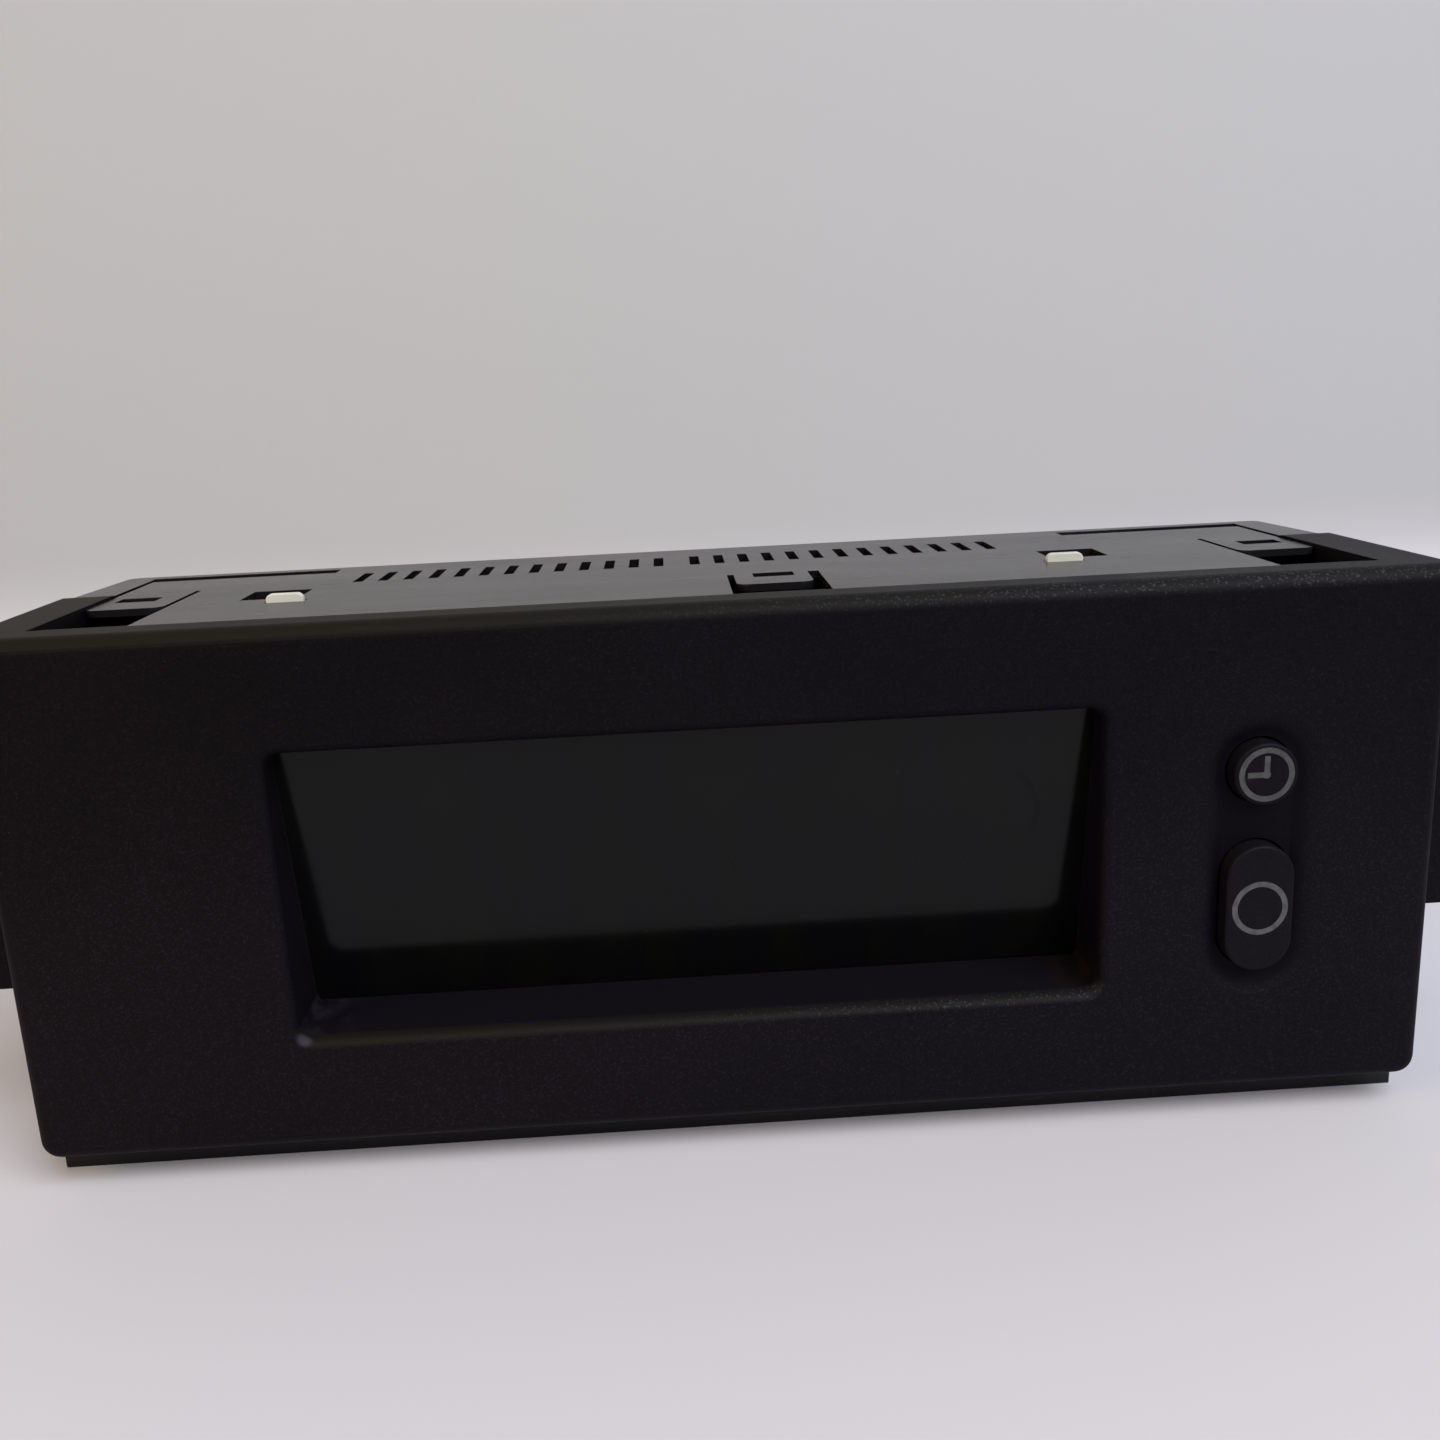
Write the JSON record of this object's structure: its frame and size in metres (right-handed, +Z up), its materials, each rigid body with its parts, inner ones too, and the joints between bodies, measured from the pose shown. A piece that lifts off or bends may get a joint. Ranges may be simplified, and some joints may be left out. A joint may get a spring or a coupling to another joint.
{
  "type": "radio display",
  "caption": "Car dash display unit: textured bezel with a deep window and two push keys, on a vented housing with screw ears and a rear socket.",
  "frame": {"origin": "centre of the footprint, on the surface the unit stands on", "axes": "+X to the right seen from the front, +Y from the front to the back, +Z up"},
  "size_m": [0.176, 0.0472, 0.061],
  "materials": {
    "bezel": "fine spark texture, near black",
    "housing": "smooth satin, near black",
    "lens": "polished, smoked nearly opaque",
    "tape": "black adhesive foam",
    "shield": "matt black",
    "steel": "tin-plated sheet",
    "cell": "clear glass with dark cells",
    "film": "grey polarising film",
    "elastomer": "soft, pink",
    "diffuser": "white film",
    "light_box": "white moulding",
    "lamp": "clear resin with phosphor",
    "board": "green solder mask",
    "chip": "black moulding compound",
    "tin": "tinned",
    "can": "satin can",
    "sink": "plain sheet",
    "resistor": "ceramic chip",
    "switch": "black moulding",
    "dome": "silicone",
    "plunger": "natural nylon",
    "key": "fine satin, near black",
    "mark": "grey light pipe, unlit",
    "socket": "dark blue moulding",
    "pin": "gold-flashed",
    "screw": "zinc-plated"
  },
  "bodies": {
    "unit": {"rear_housing": "housing", "front_bezel": "bezel", "display_lens": "lens", "lens_tape": "tape", "light_shield": "shield", "lcd_frame": "steel", "lcd_glass": "cell", "lcd_polarisers": "film", "contact_strips": "elastomer", "diffuser_sheet": "diffuser", "light_box": "light_box", "backlight_leds": "lamp", "main_board": "board", "processor_chip": "chip", "driver_chips": "chip", "chip_leads": "tin", "capacitors": "can", "regulator": "chip", "heat_sink": "sink", "quartz_crystal": "tin", "chip_resistors": "resistor", "board_screws": "screw", "button_leds": "lamp", "clock_switch": "switch", "select_switch": "switch", "clock_dome": "dome", "select_dome": "dome", "connector_shell": "socket", "connector_pins": "pin"},
    "clock_key": {"clock_button": "key", "clock_mark": "mark", "clock_plunger": "plunger"},
    "select_key": {"select_button": "key", "ring_mark": "mark", "select_plunger": "plunger"}
  },
  "joints": [
    {"name": "clock_press", "type": "slide", "parent": "unit", "child": "clock_key", "axis": [0, 1, 0], "range_m": [0, 0.0008], "stiffness_N_per_m": 600, "springref_m": -0.0006, "deforming": ["clock_dome"]},
    {"name": "select_press", "type": "slide", "parent": "unit", "child": "select_key", "axis": [0, 1, 0], "range_m": [0, 0.0008], "stiffness_N_per_m": 600, "springref_m": -0.0006, "deforming": ["select_dome"]}
  ]
}
